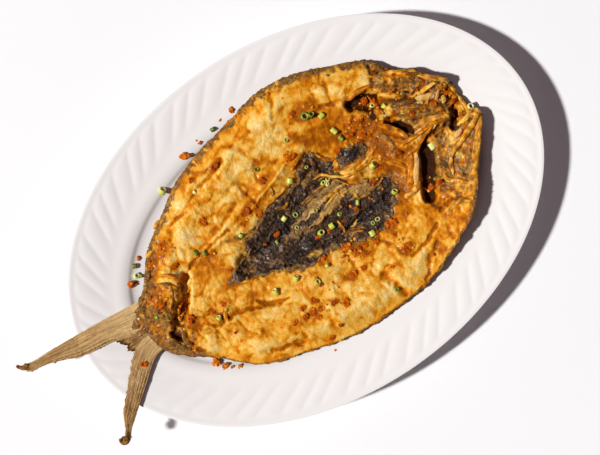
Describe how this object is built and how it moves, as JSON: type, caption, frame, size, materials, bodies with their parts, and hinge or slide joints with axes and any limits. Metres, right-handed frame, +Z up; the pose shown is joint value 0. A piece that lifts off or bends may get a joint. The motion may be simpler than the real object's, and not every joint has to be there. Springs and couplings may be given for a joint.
{
  "type": "fried milkfish on an oval platter",
  "caption": "Butterflied milkfish fried golden brown, opened flat with its tail fin, topped with fried garlic and spring onion, served on an oval platter with swirled flutes.",
  "frame": {"origin": "middle of the platter's flat base", "axes": "+Z up out of the platter, +X along the platter's length towards the fish's head, so the tail points to -X"},
  "size_m": [0.3983, 0.251, 0.0345],
  "materials": {
    "platter_glaze": "glossy white glaze over stoneware",
    "fried_fish": null
  },
  "bodies": {
    "root": {"plate": "platter_glaze", "fish": "fried_fish"}
  },
  "joints": []
}
